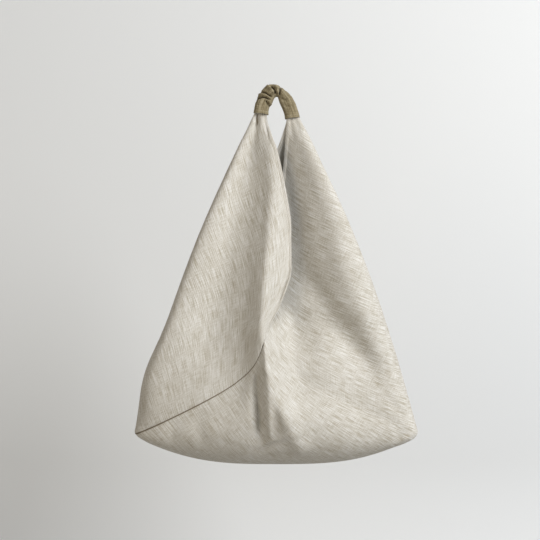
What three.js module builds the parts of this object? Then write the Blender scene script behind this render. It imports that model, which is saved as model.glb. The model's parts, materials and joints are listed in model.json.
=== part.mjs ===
// A knot bag: one long strip of linen folded and sewn into a square base with two peaks, the peaks'
// tips tucked into the cuffs of a darker, gathered handle. It hangs here from the handle's crown.
// Millimetres, +Z up, front towards -Y. The origin is the seat under the crown, which it hangs by.
import * as THREE from 'three';

// The strip: each third is a square of this side, and its draped form follows from the side's length.
const stripSide = 450;
const clothThickness = 1.6;
const tipTuck = 40;
const hemWidth = 8;
const hemThickness = 1.2;
const hemClearance = 0.8;
const lipHemStartShare = 0.12;
const lipHemEndShare = 0.9;
const edgeHemSkipCount = 2;
const seamFellWidth = 10;
const seamFellStartShare = 0.16;
const seamFellEndShare = 0.8;
const seamFellRiseFactor = 3;

// How the bag hangs.
const cornerSpan = 494;
const valleyDepth = 190;
const bellyRun = 60;
const bellyFullness = 0.24;
const bottomSag = 54;
const bottomFullness = 3;
const sideSwell = 18;
const sideRadius = 16;
const cornerRadius = 70;
const sideRadiusShare = 0.22;
const valleyShift = 28;
const seamStraightShare = 0.68;
const seamCurlPower = 8;
const seamSlopeShare = 0.01;
const seamClearance = 0.5;

// The lip of each peak that laps over the other peak, and the line it folds on.
const lipWidth = 47;
const lipTopDrop = 98;
const lipTopShift = -10;
const lipTopDepth = 25;
const lipStartShare = 0.04;
const lipEndShare = 0.97;
const lipReachPower = 1.1;
const lipReturnPower = 0.8;
const tuckedEdgeStep = 9;
const foldGap = 0.6;

// The main folds, as lines down the cloth: how far down (0 at the cuffs' mouths, 1 at the valleys), how far
// across (0 at the mouth's edge, 1 at the folded side), and how far forward, as a share of the ridge's way
// out of the neck. The lapping sheet falls from its ridge into a pleat and rises to a crest by the side. The
// tucked sheet comes from behind the lip, where a swale slants down to the side, and rises to its own crest.
const lappingFoldShares = {
  ridge: [[0, 0, 1], [1, 0, 1]],
  flank: [
    [0.16, 0.48, 0.46], [0.33, 0.42, 0.58], [0.51, 0.37, 0.58], [0.7, 0.23, 0.72],
    [0.88, 0.18, 0.71], [1, 0.18, 0.67],
  ],
  pleat: [
    [0.16, 0.71, 0.24], [0.33, 0.6, 0.4], [0.51, 0.55, 0.49], [0.7, 0.49, 0.53],
    [0.88, 0.48, 0.58], [1, 0.49, 0.57], [1.17, 0.54, 0.61],
  ],
  crest: [
    [0.16, 0.9, 0.46], [0.33, 0.9, 0.68], [0.51, 0.88, 0.73], [0.7, 0.86, 0.7],
    [1, 0.82, 0.65], [1.17, 0.85, 0.61],
  ],
};
const tuckedFoldShares = {
  edge: [[0.1, 0, 0.05], [0.36, 0, 0.62], [0.51, 0, 0.465], [0.7, 0, 0.37], [0.88, 0, 0.55], [1, 0, 0.86]],
  swale: [
    [0.1, 0.1, 0.07], [0.36, 0.11, 0.62], [0.51, 0.16, 0.465], [0.7, 0.2, 0.37],
    [0.88, 0.38, 0.58], [1, 0.52, 0.6], [1.2, 0.66, 0.63],
  ],
  crest: [
    [0.16, 0.93, 1.08], [0.33, 0.87, 1.12], [0.51, 0.84, 1.11], [0.7, 0.78, 1.08],
    [0.88, 0.8, 0.92], [1, 0.81, 0.74], [1.17, 0.84, 0.63],
  ],
};
const lipEdgeFoldShares = [[0.16, 0.73], [0.36, 0.81], [0.7, 0.74], [0.88, 0.9], [1, 0.99]];

// The handle: a gathered crown between two cuffs, slid a little to one side as it hangs.
const cuffSpacing = 56;
const cuffWidth = 28;
const cuffDepth = 22;
const cuffHeight = 23;
const cuffWall = 1.8;
const cuffRim = 0.7;
const cuffRimHeight = 6;
const cuffLean = THREE.MathUtils.degToRad(12);
const mouthDrop = 35;
const handleSlip = 4;
const crownThickness = 21;
const crownDepth = 22;
const gatherCount = 9;
const gatherRelief = 1.3;
const gatherStepCount = 4;
const crownArchShare = 0.75;
const seatLength = 14;
const seatShare = 0.6;

// The peaks' necks where they leave the cuffs, and the sewn tips inside.
const neckDepth = 2.8;
const neckStraightLength = 7;
const neckEntry = 2;
const neckSlack = 2.4;
const bundleInset = 8;
const bundleRadius = 2;
const clearance = 0.35;

// How finely the cloth and the sections are divided.
const peakColumnCount = 14;
const clothRowCount = 16;
const lipRowCount = 18;
const lipColumnCount = 6;
const bandColumnCount = 2;
const sectionPointCount = 20;
const sectionPower = 0.45;

const colours = { linen: 0xd3c9b6, hem: 0xc9beaa, handle: 0x8c8068 };

const front = -1;
const back = 1;
const left = -1;
const right = 1;
const { lerp, clamp, smoothstep } = THREE.MathUtils;

// Places that follow from the sizes above.
const halfSpan = cornerSpan / 2;
const halfDepth = valleyDepth / 2;
const neckOuter = (cuffSpacing + cuffWidth - clothThickness) / 2 - cuffWall - clearance;
const neckInner = (cuffSpacing - cuffWidth) / 2 + cuffWall + neckSlack;
const slantLength = stripSide * Math.SQRT2 - tipTuck;
const cornerZ = -mouthDrop - Math.sqrt(slantLength ** 2 - (halfSpan - cuffSpacing / 2) ** 2);
const edgeLength = stripSide - tipTuck * Math.SQRT2;
const valleyZ = -mouthDrop - Math.sqrt(edgeLength ** 2 - halfDepth ** 2);
const bottomZ = cornerZ - bottomSag;
const lean = Math.tan(cuffLean);

function mouthZ(side) {
  return -mouthDrop - side * handleSlip;
}

// How far down the cloth a height lies: 0 at the cuffs' mouths, 1 at the valleys, more below them.
function dropAt(z) {
  return (-mouthDrop - z) / (-mouthDrop - valleyZ);
}

// The ridges swell out of the cuffs, run straight along the lips' fold lines to the valleys, and below them
// the belly rounds off.
const ridgeSlope = (halfDepth - lipTopDepth) / (-lipTopDrop - valleyZ);

function ridgeDepth(z) {
  if (z > -lipTopDrop) {
    const top = mouthDrop + neckStraightLength;
    const run = lipTopDrop - top;
    const rise = lipTopDepth - neckDepth;
    const down = clamp((-top - z) / run, 0, 1);
    return neckDepth + (2 * rise - run * ridgeSlope) * down + (run * ridgeSlope - rise) * down ** 2;
  }
  const below = Math.max(valleyZ - z, 0);
  const straight = lipTopDepth + ridgeSlope * (-lipTopDrop - Math.max(z, valleyZ));
  return straight + ridgeSlope * bellyRun * (1 - Math.exp(-below / bellyRun));
}

// The ridge line runs from the top of the lip to the valley. The back is the front turned half round.
function ridgeX(face, z) {
  const down = (-lipTopDrop - z) / (-lipTopDrop - valleyZ);
  return -face * lerp(lipTopShift, -valleyShift, clamp(down, 0, 1));
}

function outerX(side, z) {
  const mouth = mouthZ(side);
  const run = (mouth - z) / (mouth - cornerZ);
  if (run < 0) {
    return side * (neckOuter - (z - mouth) * lean);
  }
  return side * (lerp(neckOuter, halfSpan, run) + sideSwell * Math.sin(Math.PI * Math.min(run, 1)));
}

// A peak's lip laps over on one face, and on the other its plain edge lies under the other peak's lip.
function lapsOver(face, side) {
  return face === side;
}

function innerX(face, side, z) {
  const mouth = mouthZ(side);
  if (z > mouth) {
    return side * (neckInner - (z - mouth) * lean);
  }
  const neck = side * neckInner;
  if (lapsOver(face, side)) {
    const run = clamp((mouth - z) / (mouth + lipTopDrop), 0, 1);
    return lerp(neck, ridgeX(face, z) + side * foldGap, run);
  }
  const run = clamp((mouth - z) / (mouth - valleyZ), 0, 1);
  return lerp(neck, face * valleyShift + side * tuckedEdgeStep, run);
}

// A smooth curve through knots, level at both ends and at every crest and trough.
function curveThrough(knots, values, at) {
  const last = knots.length - 1;
  const slope = (k) => (values[k + 1] - values[k]) / (knots[k + 1] - knots[k]);
  const tangent = (k) => {
    if (k === 0 || k === last || slope(k - 1) * slope(k) <= 0) {
      return 0;
    }
    return (2 * slope(k - 1) * slope(k)) / (slope(k - 1) + slope(k));
  };
  const place = clamp(at, knots[0], knots[last]);
  const span = Math.max(knots.slice(0, last).findLastIndex((knot) => knot <= place), 0);
  const width = knots[span + 1] - knots[span];
  const t = (place - knots[span]) / width;
  const lead = t * (1 - t) ** 2 * width * tangent(span);
  const trail = t * t * (t - 1) * width * tangent(span + 1);
  return lerp(values[span], values[span + 1], t * t * (3 - 2 * t)) + lead + trail;
}

// A column of a table of fold points, followed down the cloth.
function follow(table, column, z) {
  return curveThrough(table.map((row) => row[0]), table.map((row) => row[column]), dropAt(z));
}

// The folded side is rounded, more so towards the base's corner, where the two sheets meet in a point.
function sideRoundness(across, width, z) {
  const down = clamp((-mouthDrop - z) / (-mouthDrop - cornerZ), 0, 1);
  const radius = Math.min(lerp(sideRadius, cornerRadius, down ** bottomFullness), sideRadiusShare * width);
  const share = clamp(((1 - across) * width) / radius, 0, 1);
  return Math.sqrt(1 - (1 - share) ** 2);
}

// A point of a peak: across is 0 at the inner edge and 1 at the folded side.
function peakPoint(face, side, across, z) {
  const folds = Object.values(lapsOver(face, side) ? lappingFoldShares : tuckedFoldShares);
  const places = folds.map((fold) => follow(fold, 1, z));
  const depths = folds.map((fold) => follow(fold, 2, z));
  const inner = innerX(face, side, z);
  const outer = outerX(side, z);
  const depth = lerp(neckDepth, ridgeDepth(z), curveThrough(places, depths, across));
  const roundness = sideRoundness(across, Math.abs(outer - inner), z);
  return new THREE.Vector3(lerp(inner, outer, across), face * depth * roundness, z);
}

// The diagonal where a peak meets the base, from the valley (0) to the base corner (1).
function seamZ(across) {
  const rise = 1 - across;
  const curve = seamStraightShare * rise + (1 - seamStraightShare) * Math.pow(rise, seamCurlPower);
  return lerp(cornerZ, valleyZ, curve);
}

// The sewn edges keep their clearance square to the diagonal, however steep it is.
function seamGap(across) {
  const from = Math.max(across - seamSlopeShare, 0);
  const to = Math.min(across + seamSlopeShare, 1);
  const width = outerX(right, valleyZ) - valleyShift;
  return seamClearance * Math.hypot(1, (seamZ(from) - seamZ(to)) / ((to - from) * width));
}

function bottomCurve(x) {
  return lerp(bottomZ, cornerZ, Math.pow(Math.min(Math.abs(x) / halfSpan, 1), bottomFullness));
}

// Unit normals of a grid of points, from its own rows and columns, laid level along sewn rows.
function gridNormals(grid, outward, sewnRows) {
  return grid.map((row, i) => row.map((point, j) => {
    const up = grid[Math.min(i + 1, grid.length - 1)][j].clone();
    up.sub(grid[Math.max(i - 1, 0)][j]);
    const along = row[Math.min(j + 1, row.length - 1)].clone();
    along.sub(row[Math.max(j - 1, 0)]);
    const normal = up.cross(along);
    if (sewnRows.includes(i)) {
      normal.z = 0;
    }
    return normal.normalize().multiplyScalar(outward);
  }));
}

function shifted(grid, normals, distance) {
  return grid.map((row, i) => row.map((point, j) => point.clone().addScaledVector(normals[i][j], distance)));
}

// A closed solid between two grids of the same shape, walled round its four edges.
function solidBetween(outerGrid, innerGrid) {
  const rows = outerGrid.length;
  const columns = outerGrid[0].length;
  const points = [...outerGrid.flat(), ...innerGrid.flat()];
  const outer = (i, j) => i * columns + j;
  const inner = (i, j) => rows * columns + i * columns + j;
  const index = [];
  const quad = (a, b, c, d) => index.push(a, b, c, a, c, d);
  for (let i = 0; i < rows - 1; i += 1) {
    for (let j = 0; j < columns - 1; j += 1) {
      quad(outer(i, j), outer(i + 1, j), outer(i + 1, j + 1), outer(i, j + 1));
      quad(inner(i, j), inner(i, j + 1), inner(i + 1, j + 1), inner(i + 1, j));
    }
    quad(outer(i, 0), inner(i, 0), inner(i + 1, 0), outer(i + 1, 0));
    const end = columns - 1;
    quad(outer(i, end), outer(i + 1, end), inner(i + 1, end), inner(i, end));
  }
  for (let j = 0; j < columns - 1; j += 1) {
    quad(outer(0, j), outer(0, j + 1), inner(0, j + 1), inner(0, j));
    const end = rows - 1;
    quad(outer(end, j), inner(end, j), inner(end, j + 1), outer(end, j + 1));
  }
  return closedGeometry(points, index);
}

// Rings of points joined end to end, capped at both ends or joined round into a hollow sleeve.
function ringSolid(rings, joinedRound) {
  const count = rings[0].length;
  const points = rings.flat();
  const index = [];
  const spans = joinedRound ? rings.length : rings.length - 1;
  for (let i = 0; i < spans; i += 1) {
    const low = i * count;
    const high = ((i + 1) % rings.length) * count;
    for (let j = 0; j < count; j += 1) {
      const next = (j + 1) % count;
      index.push(low + j, low + next, high + next, low + j, high + next, high + j);
    }
  }
  if (!joinedRound) {
    const last = (rings.length - 1) * count;
    for (let j = 1; j < count - 1; j += 1) {
      index.push(0, j + 1, j, last, last + j, last + j + 1);
    }
  }
  return closedGeometry(points, index);
}

function signedVolume(points, index) {
  let volume = 0;
  for (let i = 0; i < index.length; i += 3) {
    const [a, b, c] = index.slice(i, i + 3).map((k) => points[k]);
    volume += a.dot(new THREE.Vector3().crossVectors(b, c)) / 6;
  }
  return volume;
}

function closedGeometry(points, index) {
  const facing = signedVolume(points, index) > 0 ? index : [...index].reverse();
  const geometry = new THREE.BufferGeometry().setFromPoints(points);
  geometry.setIndex(facing);
  geometry.computeVertexNormals();
  return geometry;
}

function sheet(grid, outward, thickness, { depthBelowFace = 0, sewnRows = [] } = {}) {
  const normals = gridNormals(grid, outward, sewnRows);
  const outerGrid = shifted(grid, normals, thickness / 2 - depthBelowFace);
  const innerGrid = shifted(grid, normals, -thickness / 2 - depthBelowFace);
  return solidBetween(outerGrid, innerGrid);
}

const bag = new THREE.Group();

function add(name, geometry, colour, roughness = 0.95) {
  const material = new THREE.MeshStandardMaterial({ color: colour, roughness, metalness: 0 });
  const mesh = new THREE.Mesh(geometry, material);
  mesh.name = name;
  bag.add(mesh);
  return mesh;
}

function steps(count, from = 0, to = 1) {
  return Array.from({ length: count + 1 }, (_, i) => lerp(from, to, i / count));
}

// Columns across a peak, which the base shares, crowd towards the edge and the folded side.
const columnShares = steps(peakColumnCount).map((t) => (1 - Math.cos(Math.PI * t)) / 2);

// A row of a peak, from the base's diagonal (0) to the cuff's mouth (1).
function peakRowPoint(face, side, across, t) {
  return peakPoint(face, side, across, lerp(seamZ(across) + seamGap(across), mouthZ(side), t));
}

// A peak: from its front edge round the folded side to its back edge, from the base's diagonals
// up into the cuff.
function peakPanel(side) {
  const columns = [
    ...columnShares.map((a) => [front, a]),
    ...columnShares.slice(0, -1).reverse().map((a) => [back, a]),
  ];
  const grid = steps(clothRowCount).map((t) => columns.map(([face, a]) => peakRowPoint(face, side, a, t)));
  grid.push(columns.map(([face, a]) => peakPoint(face, side, a, mouthZ(side) + neckEntry)));
  return sheet(grid, -side, clothThickness, { sewnRows: [0] });
}

// The base: each column starts at the front diagonal, goes under and ends at the back diagonal.
function basePanel() {
  const shares = columnShares.slice(0, -1);
  const columns = [
    ...[...shares].reverse().map((a) => [left, a]),
    ...shares.map((a) => [right, a]),
  ];
  const turns = steps(clothRowCount, 0, Math.PI);
  const grid = turns.map((turn) => columns.map(([side, a]) => {
    const start = peakPoint(front, side, a, seamZ(a));
    const end = peakPoint(back, side, a, seamZ(a));
    const lowX = (start.x + end.x) / 2;
    const rim = turn < Math.PI / 2 ? start : end;
    const drop = Math.sin(turn);
    const level = Math.abs(Math.cos(turn));
    return new THREE.Vector3(
      lerp(rim.x, lowX, drop),
      rim.y * (level + bellyFullness * 2 * level * drop),
      lerp(rim.z - seamGap(a), bottomCurve(lowX), drop),
    );
  }));
  return sheet(grid, 1, clothThickness, { sewnRows: [0, turns.length - 1] });
}

// A lip, from its fold line to its free edge, standing clear of the peak that it laps over.
function lipSpan(t) {
  const shape = (u) => Math.pow(u, lipReachPower) * Math.pow(1 - u, lipReturnPower);
  return lipWidth * shape(t) / shape(lipReachPower / (lipReachPower + lipReturnPower));
}

function lipPoint(face, t, distance) {
  const z = lerp(-lipTopDrop, valleyZ, t);
  const x = ridgeX(face, z) - face * (foldGap + distance);
  const fall = smoothstep(distance, 0, lipSpan(t));
  const depth = lerp(neckDepth, ridgeDepth(z), lerp(1, follow(lipEdgeFoldShares, 1, z), fall));
  return new THREE.Vector3(x, face * depth, z);
}

function lip(face) {
  const grid = steps(lipRowCount, lipEndShare, lipStartShare).map(
    (t) => steps(lipColumnCount).map((w) => lipPoint(face, t, w * lipSpan(t))),
  );
  return sheet(grid, -1, clothThickness);
}

// Hems are turned to the inside, against the cloth's inner face.
const hemInset = clothThickness / 2 + hemClearance + hemThickness / 2;

function lipHem(face) {
  const grid = steps(clothRowCount, lipHemEndShare, lipHemStartShare).map((t) => {
    const edge = lipSpan(t);
    return steps(bandColumnCount).map((w) => lipPoint(face, t, edge - hemWidth * (1 - w)));
  });
  return sheet(grid, -1, hemThickness, { depthBelowFace: hemInset });
}

function edgeHem(face, side) {
  const grid = steps(clothRowCount).slice(edgeHemSkipCount, -1).map((t) => {
    const { x, z } = peakRowPoint(face, side, 0, t);
    const share = hemWidth / Math.abs(outerX(side, z) - x);
    return steps(bandColumnCount).map((w) => peakRowPoint(face, side, share * w, t));
  });
  return sheet(grid, face * side, hemThickness, { depthBelowFace: hemInset });
}

// The seam's allowance, felled flat against the inside of the peak along the sewn diagonal.
function seamFell(face, side) {
  const shares = steps(clothRowCount, seamFellStartShare, seamFellEndShare);
  const foot = (a) => seamZ(a) + seamFellRiseFactor * seamGap(a);
  const grid = steps(bandColumnCount, 0, seamFellWidth).map(
    (h) => shares.map((a) => peakPoint(face, side, a, foot(a) + h)),
  );
  return sheet(grid, face * side, hemThickness, { depthBelowFace: hemInset });
}

// A rounded oblong section, square to a centre line in the plane y = 0.
function oblong(centre, tangent, halfWidth, halfDeep) {
  const across = new THREE.Vector3(tangent.z, 0, -tangent.x);
  return Array.from({ length: sectionPointCount }, (_, k) => {
    const angle = (2 * Math.PI * k) / sectionPointCount;
    const soft = (v) => Math.sign(v) * Math.pow(Math.abs(v), sectionPower);
    const point = centre.clone().addScaledVector(across, halfWidth * soft(Math.cos(angle)));
    point.y += halfDeep * soft(Math.sin(angle));
    return point;
  });
}

function cuffFrame(side) {
  const mouth = new THREE.Vector3(side * cuffSpacing / 2, 0, mouthZ(side));
  const up = new THREE.Vector3(-side * Math.sin(cuffLean), 0, Math.cos(cuffLean));
  return { mouth, up, at: (h) => mouth.clone().addScaledVector(up, h) };
}

// A cuff is an open sleeve with a turned hem round its mouth.
function cuff(side) {
  const { up, at } = cuffFrame(side);
  const ring = (h, inset) => oblong(at(h), up, cuffWidth / 2 - inset, cuffDepth / 2 - inset);
  return ringSolid([
    ring(0, -cuffRim),
    ring(cuffRimHeight, -cuffRim),
    ring(cuffRimHeight + cuffRim, 0),
    ring(cuffHeight, 0),
    ring(cuffHeight, cuffWall),
    ring(0, cuffWall),
  ], true);
}

// The peak's tip, folded small and sewn inside the cuff.
function tipBundle(side) {
  const { up, at } = cuffFrame(side);
  const inset = cuffWall + clearance;
  const ring = (h, extra) => oblong(at(h), up, cuffWidth / 2 - inset - extra, cuffDepth / 2 - inset - extra);
  return ringSolid([
    ring(bundleInset, bundleRadius),
    ring(bundleInset + bundleRadius, 0),
    ring(cuffHeight - bundleRadius, 0),
    ring(cuffHeight, bundleRadius),
  ], false);
}

// The underside of a ring, pressed flat where the crown sits.
function pressed(ring) {
  ring.forEach((point, k) => {
    if (Math.cos((2 * Math.PI * k) / sectionPointCount) > seatShare) {
      point.z = 0;
    }
  });
  return ring;
}

// The crown: gathered folds ride over the arch from cuff to cuff.
function crown() {
  const start = cuffFrame(left);
  const end = cuffFrame(right);
  const lift = cuffHeight + clearance;
  const from = start.at(lift);
  const to = end.at(lift);
  const apex = crownThickness / 2;
  const reach = (apex - (from.z + to.z) / 2) / (crownArchShare * start.up.z);
  const path = new THREE.CubicBezierCurve3(from, start.at(lift + reach), end.at(lift + reach), to);
  const rings = steps(gatherCount * gatherStepCount).map((t) => {
    const narrow = Math.min(1, 2 * Math.sin(Math.PI * t));
    const fold = gatherRelief * Math.sin(2 * Math.PI * gatherCount * t) * narrow;
    const halfWidth = lerp(cuffWidth, crownThickness, narrow) / 2 + fold;
    const halfDeep = lerp(cuffDepth, crownDepth, narrow) / 2 + fold;
    const centre = path.getPoint(t);
    const ring = oblong(centre, path.getTangent(t), halfWidth, halfDeep);
    return Math.abs(centre.x) < seatLength / 2 ? pressed(ring) : ring;
  });
  return ringSolid(rings, false);
}

add('handle_crown', crown(), colours.handle);
add('left_cuff', cuff(left), colours.handle);
add('right_cuff', cuff(right), colours.handle);
add('left_tip_bundle', tipBundle(left), colours.linen);
add('right_tip_bundle', tipBundle(right), colours.linen);
add('left_peak_panel', peakPanel(left), colours.linen);
add('right_peak_panel', peakPanel(right), colours.linen);
add('base_panel', basePanel(), colours.linen);
add('front_lip', lip(front), colours.linen);
add('back_lip', lip(back), colours.linen);
add('front_lip_hem', lipHem(front), colours.hem);
add('back_lip_hem', lipHem(back), colours.hem);
add('right_front_hem', edgeHem(front, right), colours.hem);
add('left_back_hem', edgeHem(back, left), colours.hem);
add('front_seam_fell', seamFell(front, left), colours.hem);
add('back_seam_fell', seamFell(back, right), colours.hem);

export default bag;
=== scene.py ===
# %% [markdown]
# # A linen knot bag, hanging by its handle
# The bag is one long strip of natural linen, folded so that its middle third is the base and its outer
# thirds rise as two peaks. The peaks' tips go into the cuffs of a short, darker handle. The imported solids
# give every place and size. This script dresses them as cloth: it lays the strip out in folds, lets a cloth
# simulation settle it, and adds hems, seams, stitches and the gathered handle.

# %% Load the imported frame
import functools
import json
import math

import bpy
import numpy as np
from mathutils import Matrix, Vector


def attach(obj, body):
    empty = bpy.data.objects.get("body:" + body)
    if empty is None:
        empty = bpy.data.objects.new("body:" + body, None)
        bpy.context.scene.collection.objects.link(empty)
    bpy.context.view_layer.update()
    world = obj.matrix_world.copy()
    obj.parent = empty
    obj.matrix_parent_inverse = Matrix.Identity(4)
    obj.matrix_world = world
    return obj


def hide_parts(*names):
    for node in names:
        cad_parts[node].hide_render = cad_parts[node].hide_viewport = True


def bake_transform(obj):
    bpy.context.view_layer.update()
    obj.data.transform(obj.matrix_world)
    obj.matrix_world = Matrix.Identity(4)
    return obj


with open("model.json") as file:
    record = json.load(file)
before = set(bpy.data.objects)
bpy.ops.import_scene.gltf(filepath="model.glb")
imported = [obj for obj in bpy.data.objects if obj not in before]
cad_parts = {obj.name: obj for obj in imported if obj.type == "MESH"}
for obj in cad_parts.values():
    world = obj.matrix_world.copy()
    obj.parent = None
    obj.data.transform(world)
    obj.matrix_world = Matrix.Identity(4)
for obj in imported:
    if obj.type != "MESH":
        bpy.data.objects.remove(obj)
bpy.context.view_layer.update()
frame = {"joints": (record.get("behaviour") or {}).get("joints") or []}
scene = bpy.context.scene

# %% [markdown]
# ## Camera
# The bag is seen level, from a little over two metres, with the camera at about half its height. A long
# lens keeps the peaks and the base in proportion. The picture is square, so the lens follows from the width
# of the view at the bag.

# %% Camera
VIEW_DISTANCE = 2.2
VIEW_WIDTH = 0.947
VIEW_CENTRE = Vector((-0.012, 0.0, -0.305))


def put(name, data):
    """A new object in the scene, at the origin."""
    thing = bpy.data.objects.new(name, data)
    scene.collection.objects.link(thing)
    return thing


camera_data = bpy.data.cameras.new("camera")
camera_data.lens = camera_data.sensor_width * VIEW_DISTANCE / VIEW_WIDTH
camera = put("camera", camera_data)
camera.location = VIEW_CENTRE + Vector((0, -VIEW_DISTANCE, 0))
camera.rotation_euler = (math.pi / 2, 0, 0)
scene.camera = camera
scene.view_settings.view_transform = "Standard"
print("lens", round(camera_data.lens, 1), "mm")

# %% [markdown]
# ## Nodes and colours
# Every material is a small node tree. One function adds a node, sets it up and links it, so a tree reads
# from top to bottom. Colours are written as sRGB hex, the way they are picked from a swatch, and one
# function makes them linear.

# %% One way to add a node, one way to write a colour
def add(tree, kind, inputs=None, **settings):
    """A new node: its settings first, then its inputs, each a value or another node's output."""
    node = tree.nodes.new(kind)
    for name, value in settings.items():
        setattr(node, name, value)
    for name, value in (inputs or {}).items():
        socket = node.inputs[name]
        if isinstance(value, bpy.types.NodeSocket):
            tree.links.new(value, socket)
        else:
            socket.default_value = value
    return node


def linear(code):
    """An sRGB hex colour as linear red, green, blue and alpha."""
    parts = [int(code[k : k + 2], 16) / 255 for k in (1, 3, 5)]
    return (*[c / 12.92 if c <= 0.04045 else ((c + 0.055) / 1.055) ** 2.4 for c in parts], 1.0)


def new_material(name):
    material = bpy.data.materials.new(name)
    material.use_nodes = True
    material.node_tree.nodes.clear()
    return material, material.node_tree


print("half grey, #808080, is", round(linear("#808080")[0], 3), "in linear light")

# %% [markdown]
# ## Stage
# A pale sweep of paper, floor and backdrop in one, stands well behind the bag, so the bag can swing in
# front of it. Two flat sheets would meet in a line, so one bent profile is drawn out sideways instead. Matt
# paper scatters light evenly and shows no gloss. The camera, mirrors and glass see it nearly white. Other
# rays see it greyer, so it throws less light on the bag, and from behind it lets the view through.

# %% The sweep
FLOOR_Z = -1.15
BACKDROP_Y = 0.75
SWEEP_RADIUS = 0.40
SWEEP_HALF = 3.0
SWEEP_STEPS = 16

profile = [(-SWEEP_HALF, FLOOR_Z)]
for step in range(SWEEP_STEPS + 1):
    turn = 0.5 * math.pi * step / SWEEP_STEPS
    y = BACKDROP_Y - SWEEP_RADIUS + SWEEP_RADIUS * math.sin(turn)
    z = FLOOR_Z + SWEEP_RADIUS - SWEEP_RADIUS * math.cos(turn)
    profile.append((y, z))
profile.append((BACKDROP_Y, SWEEP_HALF))
sweep_points = [(x, y, z) for y, z in profile for x in (-SWEEP_HALF, SWEEP_HALF)]
sweep_faces = [(2 * k, 2 * k + 1, 2 * k + 3, 2 * k + 2) for k in range(len(profile) - 1)]
sweep_mesh = bpy.data.meshes.new("sweep")
sweep_mesh.from_pydata(sweep_points, [], sweep_faces)
sweep_mesh.shade_smooth()
sweep = put("sweep", sweep_mesh)
print("sweep", len(sweep_faces), "faces")

# %% Matt paper
paper, tree = new_material("matt_paper")
ray = add(tree, "ShaderNodeLightPath")
seen_by = ray.outputs["Is Camera Ray"]
for kind in ("Is Glossy Ray", "Is Transmission Ray"):
    seen_by = add(tree, "ShaderNodeMath", {0: seen_by, 1: ray.outputs[kind]}, operation="MAXIMUM").outputs[0]
seen = add(
    tree,
    "ShaderNodeMix",
    {0: seen_by, 6: linear("#b4b2ae"), 7: linear("#ebeff3")},
    data_type="RGBA",
)
diffuse = add(tree, "ShaderNodeBsdfDiffuse", {"Color": seen.outputs[2]})
behind = add(tree, "ShaderNodeNewGeometry")
see_through = add(tree, "ShaderNodeBsdfTransparent")
one_sided = add(
    tree,
    "ShaderNodeMixShader",
    {0: behind.outputs["Backfacing"], 1: diffuse.outputs[0], 2: see_through.outputs[0]},
)
add(tree, "ShaderNodeOutputMaterial", {"Surface": one_sided.outputs[0]})
sweep_mesh.materials.append(paper)
print("paper tree", len(tree.nodes), "nodes")

# %% [markdown]
# ## Light
# Cloth shows its folds only where light comes from one side. One large soft lamp from the upper right draws
# them, a weak warm lamp from the left and a weaker cool one from below open the shaded side, and a grey sky
# fills in the rest.

# %% Lamps and sky
SKY_STRENGTH = 0.31


def soft_lamp(name, place, size, power, tint):
    data = bpy.data.lights.new(name, "AREA")
    data.shape = "DISK"
    data.size = size
    data.energy = power
    data.color = linear(tint)[:3]
    lamp = put(name, data)
    lamp.location = place
    lamp.rotation_euler = (VIEW_CENTRE - Vector(place)).to_track_quat("-Z", "Y").to_euler()
    print("lamp", name, power, "W")


soft_lamp("key", place=(2.0, -1.75, 1.05), size=2.2, power=92, tint="#fffdfa")
soft_lamp("fill", place=(-1.9, -2.0, 0.1), size=1.8, power=12, tint="#ffe9c4")
soft_lamp("floor_glow", place=(0.3, -1.3, -1.7), size=1.2, power=7, tint="#cfcfff")

world = bpy.data.worlds.new("sky")
world.use_nodes = True
sky = world.node_tree.nodes["Background"]
sky.inputs["Color"].default_value = linear("#f0efee")
sky.inputs["Strength"].default_value = SKY_STRENGTH
scene.world = world

# %% [markdown]
# ## The strip and its sizes
# The cut is 450 by 1350 mm. Its first third (A) is the right peak, the middle third (B) the base, the last
# third (C) the left peak. Two of the cut's edges are sewn: the start of one long edge to its own middle,
# and the end of the other to its middle. A half turn about the upright axis therefore carries the front of
# the bag onto its back. The sizes below repeat those of the solids, in metres. The hip is the fuller part
# of the left side, above its corner.

# %% Sizes
MM = 0.001
STRIP = 0.450
TIP_TUCK = 0.040
HALF_SPAN = 0.247
HALF_DEPTH = 0.095
BOTTOM_SAG = 0.054
BOTTOM_FULLNESS = 3
SIDE_SWELL = 0.018
HIP = 0.0125
HIP_Z = -0.488
HIP_ABOVE = 0.062
HIP_BELOW = 0.072
MOUTH_Z = -0.035
HANDLE_SLIP = 0.004
CUFF_MIDDLE = 0.028
NECK_OUTER = 0.041
TIP_RISE = 0.028
TIP_TAPER = 0.21
SEAM_STRAIGHT = 0.71
SEAM_CURL = 8
MOUTH_SHARE_INNER = 0.874
MOUTH_SHARE_OUTER = 0.937

side_length = STRIP * math.sqrt(2) - TIP_TUCK
valley_length = STRIP - TIP_TUCK * math.sqrt(2)
CORNER_Z = MOUTH_Z - math.sqrt(side_length**2 - (HALF_SPAN - CUFF_MIDDLE) ** 2)
VALLEY_Z = MOUTH_Z - math.sqrt(valley_length**2 - HALF_DEPTH**2)
BOTTOM_Z = CORNER_Z - BOTTOM_SAG
print("corners at", round(CORNER_Z, 3), "valleys at", round(VALLEY_Z, 3), "bottom at", round(BOTTOM_Z, 3))


# %% Outlines: side folds, base diagonals and bottom
def lerp(a, b, t):
    return a + (b - a) * t


def smooth(t):
    t = np.clip(t, 0, 1)
    return t * t * (3 - 2 * t)


def mouth_z(side):
    return MOUTH_Z - side * HANDLE_SLIP


def outer_x(side, z):
    top = mouth_z(side)
    run = (top - z) / (top - CORNER_Z)
    below = lerp(NECK_OUTER, HALF_SPAN, run) + SIDE_SWELL * np.sin(math.pi * np.clip(run, 0, 1))
    if side < 0:
        off = z - HIP_Z
        below = below + HIP * np.exp(-((off / np.where(off > 0, HIP_ABOVE, HIP_BELOW)) ** 2))
    return side * np.where(run < 0, NECK_OUTER - (z - top) * TIP_TAPER, below)


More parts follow.
